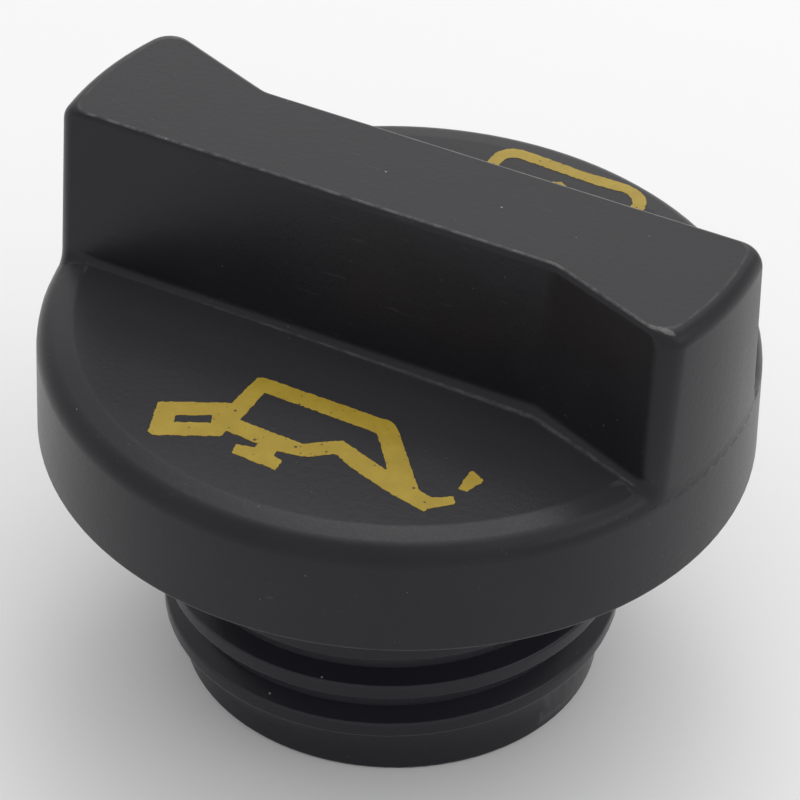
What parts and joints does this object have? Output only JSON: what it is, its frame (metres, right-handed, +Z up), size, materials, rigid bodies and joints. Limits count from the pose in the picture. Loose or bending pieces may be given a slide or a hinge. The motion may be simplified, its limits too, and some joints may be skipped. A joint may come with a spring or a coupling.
{
  "type": "oil filler cap",
  "caption": "Moulded screw cap for an engine's oil filler neck: a round head with a flared bar grip, a coarse threaded hollow neck and a flat rubber sealing ring.",
  "frame": {"origin": "on the thread's axis, in the plane of the neck's open end", "axes": "+Z up along the thread's axis from the neck to the grip, X along the bar of the grip, -Y towards the half of the deck with the oil can sign"},
  "size_m": [0.06, 0.06, 0.0479],
  "materials": {
    "moulded_plastic": "fine grained charcoal black, smoother on the neck",
    "sealing_rubber": "smooth satin black",
    "sign_ink": "printed golden yellow, a little worn"
  },
  "bodies": {
    "root": {"cap_body": "moulded_plastic", "sealing_ring": "sealing_rubber"}
  },
  "joints": []
}
